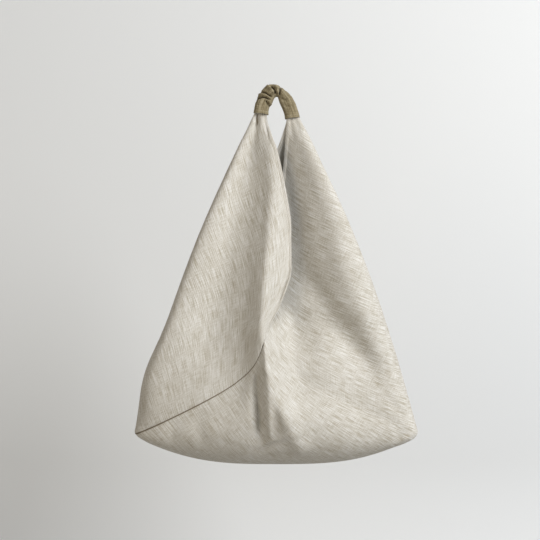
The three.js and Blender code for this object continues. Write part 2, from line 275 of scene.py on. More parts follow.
def diagonal_z(across):
    rise = 1 - across
    return lerp(CORNER_Z, VALLEY_Z, SEAM_STRAIGHT * rise + (1 - SEAM_STRAIGHT) * rise**SEAM_CURL)


def bottom_z(x):
    return lerp(BOTTOM_Z, CORNER_Z, min(abs(x) / HALF_SPAN, 1) ** BOTTOM_FULLNESS)


print("sides at the hip's height", [round(float(outer_x(side, HIP_Z)), 3) for side in (-1, 1)])

# %% [markdown]
# ## The drape, as stations
# A hanging cloth is hard to guess from nothing, so its large folds are laid out first, the way a sculptor
# blocks out a form. At each height a station gives a few points of the front: where the sheet is and how
# far it stands forward. The left sheet runs from the side fold over a broad panel, back into a pleat, out
# to a ridge and on to the lip's free edge. The right sheet runs from its covered edge, behind the lip, out
# to the other side fold.

# %% Stations, in millimetres: height, then (x, depth) from one edge to the other
LEFT_SHEET = [
    (-20, (-36, 2), (-31, 2.6), (-27, 2.6), (-23, 2.4), (-19, 2.6), (-16, 2.2)),
    (-35, (-39, 3), (-36, 4), (-33, 2), (-27, 3), (-21, 4.5), (-18, 3)),
    (-70, (-54, 8), (-49, 9), (-44, 5), (-36, 7), (-12, 18), (-9, 17)),
    (-98, (-68, 15), (-62, 14), (-51, 8), (-38, 13), (-9, 28), (1, 27)),
    (-160, (-98, 26), (-91, 27), (-64, 17), (-49, 19), (-2, 42), (14, 38)),
    (-230, (-128, 38), (-115, 40), (-78, 28), (-58, 32), (-8, 60), (24, 42)),
    (-305, (-160, 47), (-141, 50), (-90, 38), (-53, 52), (-22, 77), (25, 58)),
    (-370, (-187, 55), (-160, 57), (-101, 44), (-55, 61), (-27, 88), (4, 78)),
    (-417, (-206, 60), (-172, 62), (-115, 50), (-62, 66), (-28, 97), (-19, 95)),
    (-480, (-226, 56), (-196, 61), (-136, 66), (-64, 74), (-18, 100), (-10, 101)),
    (-540, (-238, 50), (-212, 63), (-148, 74), (-48, 90), (-22, 96), (-6, 104)),
    (-600, (-247, 46), (-215, 58), (-148, 72), (-48, 86), (-8, 89), (4, 91)),
]
RIGHT_SHEET = [
    (-20, (16, 2.2), (19, 2.6), (23, 2.4), (27, 2.6), (31, 2.6), (36, 2)),
    (-35, (18, 3), (22, 3), (26, 3), (30, 3), (34, 4), (39, 3)),
    (-70, (16, 2.5), (19, 3.5), (27, 8), (35, 13), (45, 17), (48, 16)),
    (-98, (14, 3.5), (18, 6), (29, 13), (37, 17), (54, 26), (60, 27)),
    (-160, (9, 6), (15, 8), (31, 17), (52, 30), (79, 43), (95, 43)),
    (-230, (2, 10), (20, 14), (37, 22), (66, 44), (106, 60), (126, 57)),
    (-305, (-7, 20), (16, 24), (40, 32), (76, 55), (119, 76), (158, 68)),
    (-370, (-13, 34), (15, 41), (57, 50), (99, 64), (144, 78), (182, 62)),
    (-417, (-19, 94), (4, 71), (96, 57), (132, 63), (158, 70), (203, 54)),
    (-480, (-10, 101), (14, 95), (142, 64), (168, 63), (182, 62), (222, 53)),
    (-540, (-6, 104), (30, 92), (138, 71), (168, 67), (198, 62), (234, 48)),
    (-600, (4, 91), (38, 86), (130, 66), (166, 60), (198, 53), (247, 51)),
]
print("stations", len(LEFT_SHEET), "left and", len(RIGHT_SHEET), "right")

# %% [markdown]
# ### Curves through the stations
# A plain spline would overshoot between uneven points and make bumps that nobody drew. So the slope at each
# point is kept gentle: none where the curve turns back, and a balance of both sides elsewhere.

# %% A smooth curve through uneven points, without overshoot
LEAST_STEP = 1e-6


def gentle_slope(before, after):
    both = np.where(before + after == 0, 1, before + after)
    return np.where(before * after > 0, 2 * before * after / both, 0)


def curve_through(knots, values, at):
    """A curve's value at each place: every place has its own row of knots and values."""
    steps = np.maximum(np.diff(knots, axis=1), LEAST_STEP)
    slopes = np.diff(values, axis=1) / steps
    ends = np.zeros((len(at), 1))
    tangents = np.concatenate([ends, gentle_slope(slopes[:, :-1], slopes[:, 1:]), ends], axis=1)
    piece = np.clip((at[:, None] >= knots[:, 1:-1]).sum(1), 0, steps.shape[1] - 1)
    row = np.arange(len(at))
    width = steps[row, piece]
    t = np.clip((at - knots[row, piece]) / width, 0, 1)
    lead = t * (1 - t) ** 2 * width * tangents[row, piece]
    trail = t * t * (t - 1) * width * tangents[row, piece + 1]
    return lerp(values[row, piece], values[row, piece + 1], smooth(t)) + lead + trail


def one_curve(knots, values, at):
    """The same where all places share one row of knots and values."""
    return curve_through(np.tile(knots, (len(at), 1)), np.tile(values, (len(at), 1)), at)


# %% Loft the sheets
STATION_STEPS = 400


def loft(stations):
    heights = np.array([s[0] for s in stations][::-1]) * MM
    points = np.array([s[1:] for s in stations][::-1]) * MM
    fine = np.linspace(heights[0], heights[-1], STATION_STEPS)
    tracks = [[one_curve(heights, points[:, k, c], fine) for c in (0, 1)] for k in range(points.shape[1])]
    return fine, tracks


SHEETS = {-1: loft(LEFT_SHEET), 1: loft(RIGHT_SHEET)}


def station_at(side, z):
    """The x and the depth of a sheet's points at each height."""
    fine, tracks = SHEETS[side]
    return [np.stack([np.interp(z, fine, track[c]) for track in tracks], -1) for c in (0, 1)]


print("lofted", STATION_STEPS, "heights a sheet")

# %% Round the sheets into the side folds: (height, how far in the round reaches)
SIDE_ROUND = {
    -1: ((-0.60, 0.010), (-0.54, 0.018), (-0.42, 0.012), (-0.25, 0.003)),
    1: ((-0.60, 0.012), (-0.52, 0.018), (-0.40, 0.022), (-0.22, 0.005)),
}
SIDE_ROUND_SHARE = 0.22


def sheet_depth(side, x, z, edge):
    """How far a sheet stands forward at (x, z), falling to nothing round its side edge."""
    xs, depths = station_at(side, z)
    depth = curve_through(xs, depths, x)
    reach = np.abs(edge - (xs[:, -2] if side < 0 else xs[:, 0]))
    round_at = np.interp(z, *zip(*SIDE_ROUND[side]))
    share = np.clip(np.abs(x - edge) / np.minimum(round_at, SIDE_ROUND_SHARE * reach), 0, 1)
    return depth * np.sqrt(1 - (1 - share) ** 2)


# %% [markdown]
# ## Fold lines
# Sharper folds run along lines of their own: the ridge and its two runs on down the base, the deep pleat
# beside it, small upright pleats at the lower left, a wide valley and a slanting swale on the right, and
# creases at the cuff and the corner. Each line has a height, a width on either side, and a run over which
# it fades in and out.

# %% Fold lines in mm: sheets (left, right, base), height, widths left and right, fades, then (x, z)
RIDGE = [
    (-14, -101), (-13, -160), (-16, -211), (-18, -262),
    (-21, -312), (-25, -363), (-28, -405), (-25, -430),
]
RIDGE_ON_BASE = [
    (-26, -430), (-23, -452), (-19, -475), (-16, -505),
    (-14, -535), (-13, -570), (-12, -598),
]
FOLD_LINES = [
    ("L", 4, 4.5, 12, 140, 1, RIDGE),
    ("B", 11, 6.5, 9.5, 1, 30, RIDGE_ON_BASE),
    ("B", 10, 9, 20, 50, 12, [(0, -520), (8, -545), (18, -572), (30, -598), (44, -622)]),
    ("B", -4, 9, 8, 40, 30, [(-156, -508), (-170, -542), (-177, -580), (-177, -612)]),
    ("B", -3, 9, 8, 40, 30, [(-125, -534), (-132, -568), (-125, -604)]),
    ("B", -4, 9, 8, 40, 20, [(205, -612), (208, -590), (216, -572)]),
    ("B", -16, 8, 6, 1, 40, [(-36, -442), (-34, -475), (-32, -514), (-31, -548), (-30, -590)]),
    ("L", -3, 4, 4, 1, 60, [(-36, -34), (-38, -59), (-41, -93), (-45, -143)]),
    ("R", -7, 20, 13, 60, 70, [(50, -305), (80, -355), (117, -408), (150, -456), (170, -494)]),
    ("RB", -15, 14, 32, 50, 60, [(30, -372), (27, -414), (27, -456), (31, -500), (36, -545)]),
    ("RB", 5, 20, 34, 50, 60, [(78, -408), (84, -439), (96, -498)]),
    ("RB", -3, 6, 6, 30, 10, [(182, -519), (207, -543), (236, -570)]),
]
FADE_LEAD = 0.3
print("fold lines", len(FOLD_LINES))


# %% Height of the fold lines
def along_line(points, line):
    """Each point's signed distance from a line, its run along the line, and the line's length."""
    best = np.full(len(points), np.inf)
    signed, run = np.zeros(len(points)), np.zeros(len(points))
    done = 0.0
    for k in range(len(line) - 1):
        first, step = line[k], line[k + 1] - line[k]
        length = np.hypot(*step)
        low = -np.inf if k == 0 else 0
        high = np.inf if k == len(line) - 2 else 1
        t = np.clip((points - first) @ step / length**2, low, high)
        off = points - first - t[:, None] * step
        distance = np.hypot(off[:, 0], off[:, 1])
        nearer = distance < best
        side = np.sign(step[0] * off[:, 1] - step[1] * off[:, 0])
        best = np.where(nearer, distance, best)
        signed = np.where(nearer, distance * side, signed)
        run = np.where(nearer, done + t * length, run)
        done += length
    return signed, run, done


def line_heights(lines, group, x, z):
    """Summed height of one group's lines at points (x, z), in metres."""
    points = np.stack([x.ravel(), z.ravel()], -1) / MM
    total = np.zeros(len(points))
    for groups, height, left, right, fade_in, fade_out, line in lines:
        if group not in groups:
            continue
        signed, run, length = along_line(points, np.array(line, float))
        width = np.where(signed > 0, right, left)
        fade = smooth(run / fade_in + FADE_LEAD) * smooth((length - run) / fade_out + FADE_LEAD)
        total += height * np.exp(-((signed / width) ** 2)) * fade
    return total.reshape(x.shape) * MM


# %% [markdown]
# ## From cut cloth to draped cloth
# Each row of a peak is drawn finely across the stations and then divided into equal lengths of cloth,
# because cloth bends but hardly stretches. The base hangs in columns from the front diagonal, under the
# bag, to the back one. The back takes the front's form after a half turn, with its folds a little softer
# and its neck flatter.

# %% Rows of the peaks
CELLS = 60
FINE = 240
BACK_SOFTNESS = 0.7
MOUTH_FADE = 0.030
SIDE_HOLD = 0.10
NECK_FLAT_RUN = 0.22


def running_length(points):
    return np.concatenate([[0], np.cumsum(np.linalg.norm(np.diff(points, axis=0), axis=1))])


def points_at(at, length, points):
    """Points at given lengths along a fine line."""
    return np.stack([np.interp(at, length, column) for column in points.T], -1)


@functools.cache
def peak_row(face, side, level):
    """A peak's front or back row, level cells up from the base's diagonal: with its folds and without."""
    seen = side if face < 0 else -side
    across = np.linspace(0, 1, FINE)
    mouth_share = lerp(MOUTH_SHARE_INNER, MOUTH_SHARE_OUTER, across)
    share = level / CELLS / mouth_share
    top = mouth_z(side)
    rise = (share - 1) * mouth_share / (1 - mouth_share) * TIP_RISE
    z = np.where(share < 1, lerp(diagonal_z(across), top, share), top + rise)
    xs = station_at(seen, z)[0]
    free = xs[:, -1] if seen < 0 else xs[:, 0]
    edge = -face * outer_x(side, z)
    x = lerp(free, edge, across)
    depth = sheet_depth(seen, x, z, edge)
    if face > 0:
        depth *= smooth((MOUTH_Z - z) / NECK_FLAT_RUN)
    keep = smooth((MOUTH_Z - z) / MOUTH_FADE) * smooth((1 - across) / SIDE_HOLD)
    softness = 1 if face < 0 else BACK_SOFTNESS
    fold = line_heights(FOLD_LINES, "L" if seen < 0 else "R", x, z) * keep * softness
    plain = np.stack([-face * x, face * depth, z], -1)
    draped = np.stack([-face * x, face * (depth + fold), z], -1)
    length = running_length(draped)
    cuts = np.linspace(0, length[-1], CELLS - level + 1)
    return points_at(cuts, length, draped), points_at(cuts, length, plain)


# %% Columns of the base: belly and form are given across the front, as (x, share) and (x, depth)
BELLY = (
    (-0.247, 0.10), (-0.15, 0.14), (-0.06, 0.26), (0.03, 0.28),
    (0.12, 0.28), (0.19, 0.16), (0.247, 0.06),
)
BASE_FORM_MM = (
    (-247, 46), (-200, 66), (-148, 80), (-48, 93), (-24, 95),
    (0, 102), (38, 91), (130, 72), (198, 57), (247, 54),
)
BASE_FORM = np.array(BASE_FORM_MM) * MM
BASE_BLEND = 0.5
ROW_FOLD_BLEND = 0.22


@functools.cache
def base_column(side, index):
    """A column of the base from the front diagonal to the back one: fine points and their running length."""
    (front, front_plain), (back, back_plain) = [
        [points[index] for points in peak_row(face, side, 0)] for face in (-1, 1)
    ]
    low = side * HALF_SPAN * index / CELLS
    turn = np.linspace(0, math.pi, 2 * FINE)
    drop = np.sin(turn)
    level = np.abs(np.cos(turn))
    ahead = turn <= math.pi / 2
    start = np.where(ahead[:, None], front, back)
    plain_depth = np.where(ahead, -front_plain[1], back_plain[1])
    row_fold = np.where(ahead, front_plain[1] - front[1], back[1] - back_plain[1])
    x = lerp(start[:, 0], low, drop)
    z = lerp(start[:, 2], bottom_z(low), drop)
    seen_x = np.where(ahead, x, -x)
    fold = np.where(ahead, 1, BACK_SOFTNESS) * line_heights(FOLD_LINES, "B", seen_x, z)
    fold = lerp(row_fold, fold, smooth(drop / ROW_FOLD_BLEND))
    form = one_curve(BASE_FORM[:, 0], BASE_FORM[:, 1], seen_x)
    form = lerp(plain_depth, form, smooth(drop / BASE_BLEND))
    belly = np.interp(seen_x, *zip(*BELLY))
    depth = (form + fold) * (level + belly * np.sin(2 * np.arccos(level)))
    points = np.stack([x, np.where(ahead, -1, 1) * depth, z], -1)
    return points, running_length(points)


# %% Lay the strip out
def draped_point(i, j):
    """The draped place of the strip's grid point: i along the strip, j across it."""
    if i <= CELLS:
        a = CELLS - i
        return peak_row(-1, 1, a)[0][CELLS - j] if j >= a else peak_row(1, 1, j)[0][CELLS - a]
    if i >= 2 * CELLS:
        a, b = i - 2 * CELLS, CELLS - j
        return peak_row(-1, -1, b)[0][CELLS - a] if a >= b else peak_row(1, -1, a)[0][CELLS - b]
    a = i - CELLS
    near = a + j if a + j <= CELLS else 2 * CELLS - a - j
    inner = min(a, j) if a + j <= CELLS else min(CELLS - a, CELLS - j)
    side = 1 if a + j <= CELLS else -1
    points, length = base_column(side, CELLS - near)
    share = inner / near if near else 0.0
    at = (share if j >= a else 1 - share) * length[-1]
    return points_at(at, length, points)


start_grid = np.array([[draped_point(i, j) for j in range(CELLS + 1)] for i in range(3 * CELLS + 1)])
print("laid out", start_grid.shape[0] * start_grid.shape[1], "points of the strip")

# %% [markdown]
# ## Settling the cloth
# The layout is then simulated as cloth. Its springs take their lengths from the flat cut, so spare cloth
# has to go somewhere and buckles into small natural folds. The tips and the base corners are pinned, the
# edges are held firmly and the rest loosely, so the large folds stay. How far a point may move is capped,
# and the move fades out near the valleys, the corners and the bottom, which hang taut.

# %% The sewn strip as a mesh
def sewn(i, j, cells):
    """The grid point that stands for (i, j) once the two sewn edges are joined."""
    if j == 0 and i < cells:
        return 2 * cells - i, 0
    if j == cells and i > 2 * cells:
        return 4 * cells - i, cells
    return i, j


def fold_side(i, j):
    """True where the strip folds round the bag's side."""
    return i + j == CELLS or i + j == 3 * CELLS


def free_edge(i, j):
    return i in (0, 3 * CELLS) or (j == CELLS and i <= CELLS) or (j == 0 and i >= 2 * CELLS)


def sewn_mesh():
    """The sewn strip's grid points, one of each, and its faces, split along the folds."""
    grid_points = [(i, j) for i in range(3 * CELLS + 1) for j in range(CELLS + 1)]
    keys = list(dict.fromkeys(sewn(i, j, CELLS) for i, j in grid_points))
    index = {key: k for k, key in enumerate(keys)}
    faces = []
    for i in range(3 * CELLS):
        for j in range(CELLS):
            corners = [(i, j), (i, j + 1), (i + 1, j + 1), (i + 1, j)]
            a, b, c, d = (index[sewn(*corner, CELLS)] for corner in corners)
            if fold_side(i + 1, j):
                faces += [(a, b, d), (b, c, d)]
            elif i - CELLS == j:
                faces += [(a, b, c), (a, c, d)]
            else:
                faces.append((a, b, c, d))
    return keys, faces


strip_keys, strip_faces = sewn_mesh()
print("sewn strip", len(strip_keys), "points and", len(strip_faces), "faces")

# %% The flat cut, and how firmly each point is held
FLAT_PUFF = 0.03
HOLD_LOOSE = 0.5
HOLD_EDGE = 0.85
HOLD_SIDE = 0.75
HOLD_POINT = 0.95
POINT_REACH = 0.13
CORNER_PIN = 0.015
BOTTOM_STILL = 1.5


def flat_point(i, j):
    """The sewn bag lying flat as a tall kite, hardly puffed, with every edge at its cut length."""
    half = STRIP / math.sqrt(2)
    q = j / CELLS
    if i <= CELLS:
        a = 1 - i / CELLS
        off, x, z = q - a, half * (1 - abs(q - a)), half * (q + a)
    elif i <= 2 * CELLS:
        p = i / CELLS - 1
        off, x, z = q - p, half * (1 - p - q), half * abs(q - p)
    else:
        c, k = i / CELLS - 2, 1 - q
        off, x, z = c - k, -half * (1 - abs(c - k)), half * (c + k)
    return x, -math.copysign(FLAT_PUFF * math.sqrt(abs(off)), off), z


def holds(grid, start):
    """Each point's hold, from 0 to 1, and how far it is from a valley, a corner or the bottom."""
    corners = [np.array([side * HALF_SPAN, 0, CORNER_Z]) for side in (-1, 1)]
    ends = corners + [grid[CELLS, 0], grid[2 * CELLS, CELLS], grid[2 * CELLS, 0], grid[CELLS, CELLS]]
    hold = np.full(len(start), HOLD_LOOSE)
    near = np.zeros(len(start))
    for k, (i, j) in enumerate(strip_keys):
        if free_edge(i, j):
            hold[k] = HOLD_EDGE
        if fold_side(i, j):
            hold[k] = HOLD_SIDE
        near[k] = min(np.linalg.norm(start[k] - end) for end in ends)
        near[k] = min(near[k], BOTTOM_STILL * (start[k][2] - BOTTOM_Z))
        hold[k] = max(hold[k], lerp(HOLD_POINT, 0, smooth(near[k] / POINT_REACH)))
        to_corner = min(np.linalg.norm(start[k] - corner) for corner in corners)
        if start[k][2] > MOUTH_Z or to_corner < CORNER_PIN:
            hold[k] = 1.0
    return hold, near


# %% Cloth simulation
SIM_FRAMES = 30
MOST_MOVE = 0.007
TINY = 1e-12


def weave_springs(modifier, flat):
    """Linen: it hardly stretches, shears a little and bends easily."""
    linen = modifier.settings
    linen.quality = 6
    linen.mass = 0.0003
    linen.tension_stiffness = linen.compression_stiffness = 40
    linen.shear_stiffness = 8
    linen.bending_stiffness = 1.0
    linen.tension_damping = linen.compression_damping = linen.shear_damping = 15
    linen.bending_damping = 1
    linen.air_damping = 3
    linen.vertex_group_mass = "held"
    linen.rest_shape_key = flat
    linen.effector_weights.gravity = 0.3
    touch = modifier.collision_settings
    touch.use_collision = False
    touch.use_self_collision = True
    touch.self_distance_min = 0.003
    touch.self_friction = 3
    touch.collision_quality = 3


def settle(grid):
    start = np.array([grid[key] for key in strip_keys])
    mesh = bpy.data.meshes.new("settling")
    mesh.from_pydata(start.tolist(), [], strip_faces)
    hung = put("settling", mesh)
    hung.shape_key_add(name="draped")
    flat = hung.shape_key_add(name="flat")
    flat.data.foreach_set("co", np.array([flat_point(*key) for key in strip_keys], np.float32).ravel())
    held = hung.vertex_groups.new(name="held")
    hold, near = holds(grid, start)
    for k, weight in enumerate(hold):
        held.add([k], weight, "REPLACE")
    modifier = hung.modifiers.new("linen", "CLOTH")
    weave_springs(modifier, flat)
    modifier.point_cache.frame_end = SIM_FRAMES
    for step in range(1, SIM_FRAMES + 1):
        scene.frame_set(step)
    settled = hung.evaluated_get(bpy.context.evaluated_depsgraph_get()).to_mesh()
    end = np.zeros(3 * len(strip_keys), np.float32)
    settled.vertices.foreach_get("co", end)
    move = end.reshape(-1, 3).astype(float) - start
    far = np.linalg.norm(move, axis=1)
    move *= (np.minimum(1, MOST_MOVE / np.maximum(far, TINY)) * smooth(near / POINT_REACH))[:, None]
    scene.frame_set(1)
    bpy.data.objects.remove(hung)
    bpy.data.meshes.remove(mesh)
    print("settled: mean move", round(far.mean() / MM, 1), "mm, furthest", round(far.max() / MM, 1), "mm")
    moved = {key: start[k] + move[k] for k, key in enumerate(strip_keys)}
    return np.array([[moved[sewn(i, j, CELLS)] for j in range(CELLS + 1)] for i in range(3 * CELLS + 1)])


grid = settle(start_grid)

# %% [markdown]
# ## A fine surface with room for hems and seams
# The settled grid is rounded with cubic splines and sampled again, twice as finely, and finer still next to
# the edges, so that a turned hem, its stitched groove and a seam have vertices of their own. The samples
# are the same from both ends of each third, so sewn edges meet point for point.

# %% Resample the cloth
EDGE_SAMPLES = np.array([1.2, 2.6, 6.0, 7.0, 8.0]) * MM / STRIP
PER_CELL = 2
SAMPLE_DIGITS = 7
even = np.linspace(0, 1, CELLS * PER_CELL + 1)
samples = np.unique(np.round(np.concatenate([even, EDGE_SAMPLES, 1 - EDGE_SAMPLES]), SAMPLE_DIGITS))
SPAN = len(samples) - 1
along = np.concatenate([samples, 1 + samples[1:], 2 + samples[1:]])


def spline_rows(values, at):
    """A cubic spline along the first axis that follows an even row of points and rounds it a little."""
    cells = len(values) - 1
    before, after = 2 * values[0] - values[1], 2 * values[-1] - values[-2]
    padded = np.concatenate([before[None], values, after[None]])
    cell = np.clip(np.floor(at).astype(int), 0, cells - 1)
    t = (at - cell).reshape((-1,) + (1,) * (values.ndim - 1))
    p = [padded[cell + k] for k in range(4)]
    return (
        (1 - t) ** 3 * p[0]
        + (3 * t**3 - 6 * t**2 + 4) * p[1]
        + (-3 * t**3 + 3 * t**2 + 3 * t + 1) * p[2]
        + t**3 * p[3]
    ) / 6


wide = spline_rows(grid, along * CELLS)
cloth = np.swapaxes(spline_rows(np.swapaxes(wide, 0, 1), samples * CELLS), 0, 1)
identity = np.zeros((3 * SPAN + 1, SPAN + 1), int)
for i in range(3 * SPAN + 1):
    for j in range(SPAN + 1):
        a, b = sewn(i, j, SPAN)
        identity[i, j] = a * (SPAN + 1) + b
        cloth[i, j] = cloth[a, b]
print("fine cloth", cloth.shape[:2])

# %% Normals of the sewn cloth
cell_i, cell_j = np.meshgrid(np.arange(3 * SPAN), np.arange(SPAN), indexing="ij")
CORNERS = [(cell_i, cell_j), (cell_i, cell_j + 1), (cell_i + 1, cell_j + 1), (cell_i + 1, cell_j)]


def cloth_normals(points):
    a, b, c, d = (points[k] for k in CORNERS)
    facing = np.cross(c - a, d - b)
    total = np.zeros((points.shape[0] * points.shape[1], 3))
    for k in CORNERS:
        np.add.at(total, identity[k].ravel(), facing.reshape(-1, 3))
    total /= np.maximum(np.linalg.norm(total, axis=1, keepdims=True), TINY)
    return total[identity]


normals = cloth_normals(cloth)
print("normals at", len(np.unique(identity)), "points")

# %% [markdown]
# ## Hems, seams and pleats pressed into the cloth
# A free edge is turned in twice and stitched 7 mm from the fold, so the cloth is a little thicker there and
# dips at the stitches. A sewn diagonal dips along its line, where the two layers turn in. Under the cuffs
# the cloth is drawn into small pleats. All of these are too small for the simulation, so they are pressed
# in afterwards along the normals. A mark on each point darkens the seam lines, and it paints shade into
# the depths of the pleats.

# %% Distances from the hems and the seams
FAR = 1.0
U, V = np.meshgrid(along * STRIP, samples * STRIP, indexing="ij")
edge_run = np.minimum.reduce(
    [
        U,
        3 * STRIP - U,
        np.where(U <= STRIP, STRIP - V, FAR),
        np.where(U >= 2 * STRIP, V, FAR),
    ]
)
seam_run = np.minimum(np.where(U <= 2 * STRIP, V, FAR), np.where(U >= STRIP, STRIP - V, FAR))
print("points on a hem's edge", int((edge_run == 0).sum()), "and on a seam", int((seam_run == 0).sum()))

# %% Press the edges and the pleats, which are written as the fold lines are
HEM_STITCH = 7.0 * MM
HEM_RAISE = 0.5 * MM
HEM_SOFT = 1.0 * MM
GROOVE = 0.45 * MM
GROOVE_WIDTH = 1.0 * MM
SEAM_DIP = 1.1 * MM
SEAM_WIDTH = 1.6 * MM
SEAM_PUFF = 0.35 * MM
SEAM_PUFF_AT = 4.5 * MM
SEAM_DARK_WIDTH = 2.6 * MM
PLEAT_SHADE_DEPTH = 4.4 * MM
NECK_PLEATS = [
    ("N", -4.2, 2.8, 4.0, 1, 26, [(-34, -28), (-35, -45), (-38, -62)]),
    ("N", 1.4, 3.0, 3.0, 1, 40, [(-29, -28), (-28, -50), (-29, -78), (-30, -98)]),
    ("N", -2.0, 2.0, 2.4, 1, 40, [(-22, -28), (-20, -46), (-16, -70), (-14, -92)]),
    ("N", -1.6, 2.4, 2.4, 1, 30, [(24, -36), (25, -52), (28, -76)]),
    ("N", -1.6, 2.6, 2.4, 1, 30, [(32, -36), (36, -56), (44, -84)]),
]

press = HEM_RAISE * smooth((HEM_STITCH + HEM_SOFT - edge_run) / (2 * HEM_SOFT))
press -= GROOVE * np.exp(-(((edge_run - HEM_STITCH) / GROOVE_WIDTH) ** 2))
press -= SEAM_DIP * np.exp(-((seam_run / SEAM_WIDTH) ** 2))
press += SEAM_PUFF * np.exp(-(((seam_run - SEAM_PUFF_AT) / SEAM_WIDTH) ** 2))
turned_x = np.where(cloth[..., 1] < 0, cloth[..., 0], -cloth[..., 0])
pleats = line_heights(NECK_PLEATS, "N", turned_x, cloth[..., 2])
press += pleats
cloth = cloth + normals * press[..., None]
for i in range(3 * SPAN + 1):
    for j in (0, SPAN):
        cloth[i, j] = cloth[sewn(i, j, SPAN)]
normals = cloth_normals(cloth)
# The mark darkens the seam lines and paints shade into the hollows of the pleats, the deeper the darker.
seam_dark = np.clip(1 - seam_run / SEAM_DARK_WIDTH, 0, 1)
seam_and_shade_mark = np.maximum(seam_dark, np.clip(-pleats / PLEAT_SHADE_DEPTH, 0, 1))
print("pressed from", round(press.min() / MM, 1), "to", round(press.max() / MM, 1), "mm")

# %% [markdown]
# ## Linen
# Natural linen is spun from flax of uneven thickness. Its thick stretches, called slubs, show as long thin
# streaks along one thread direction, with shorter, weaker ones across, and the surface is dull, with a
# faint sheen from loose fibres. The streaks follow the strip's own measure, so they turn with each panel as
# they do on the real cloth. The threads are about 0.6 mm apart. That is too fine to show here, so slubs are
# drawn about 1 mm wide and 30 mm long, and the weave at 1.5 mm.

# %% Linen's streaks: slubs, cross threads, flecks and clouds, with the share of each
SLUB_STRETCH, SLUB_SHARE = 28, 0.57
CROSS_STRETCH, CROSS_SHARE = 20, 0.23
FLECK_STRETCH, FLECK_SHARE = 1.4, 0.14
CLOUD_WIDTH_MM, CLOUD_LENGTH_MM, CLOUD_SHARE = 60, 90, 0.06


def linen_streaks(tree, place, slub_mm):
    """The slubs alone, and the sum of all the linen's streaks."""
    patterns = []
    for width_mm, length_mm, offset in (
        (slub_mm, slub_mm * SLUB_STRETCH, 3.1),
        (slub_mm * CROSS_STRETCH, slub_mm, 1.3),
        (slub_mm, slub_mm * FLECK_STRETCH, 7.7),
        (CLOUD_WIDTH_MM, CLOUD_LENGTH_MM, 5.9),
    ):
        size = (1 / (width_mm * MM), 1 / (length_mm * MM), 1)
        moved = {"Vector": place, "Scale": size, "Location": (offset, offset, 0)}
        mapped = add(tree, "ShaderNodeMapping", moved)
        uneven = {"Vector": mapped.outputs[0], "Scale": 1.0, "Detail": 2.0, "Roughness": 0.6}
        noise = add(tree, "ShaderNodeTexNoise", uneven, noise_dimensions="2D")
        patterns.append(noise.outputs["Fac"])
    streaks = 0.0
    for pattern, share in zip(patterns, (SLUB_SHARE, CROSS_SHARE, FLECK_SHARE, CLOUD_SHARE)):
        weighted = {0: pattern, 1: share, 2: streaks}
        streaks = add(tree, "ShaderNodeMath", weighted, operation="MULTIPLY_ADD").outputs[0]
    return patterns[0], streaks


# %% Linen's relief
WEAVE_MM = 1.5
WEAVE_RELIEF, STREAK_RELIEF = 0.25, 2.2


def linen_relief(tree, place, streaks):
    """The height of the woven threads and of the streaks."""
    split = add(tree, "ShaderNodeSeparateXYZ", {0: place})
    threads = []
    for axis in ("X", "Y"):
        per_thread = {0: split.outputs[axis], 1: 2 * math.pi / (WEAVE_MM * MM)}
        turns = add(tree, "ShaderNodeMath", per_thread, operation="MULTIPLY")
        threads.append(add(tree, "ShaderNodeMath", {0: turns.outputs[0]}, operation="SINE").outputs[0])
    weave = add(tree, "ShaderNodeMath", {0: threads[0], 1: threads[1]}, operation="MULTIPLY")
    raised = add(tree, "ShaderNodeMath", {0: streaks, 1: STREAK_RELIEF}, operation="MULTIPLY")
    both = {0: weave.outputs[0], 1: WEAVE_RELIEF, 2: raised.outputs[0]}
    return add(tree, "ShaderNodeMath", both, operation="MULTIPLY_ADD").outputs[0]


# %% Linen material
DARK_AT, MIDDLE_AT, LIGHT_AT = 0.38, 0.50, 0.63
SEAM_AND_SHADE_FROM, SEAM_AND_SHADE_FULL = 0.45, 0.85
RELIEF_MM = 0.6
ROUGH_LEAST, ROUGH_RANGE = 0.78, 0.16


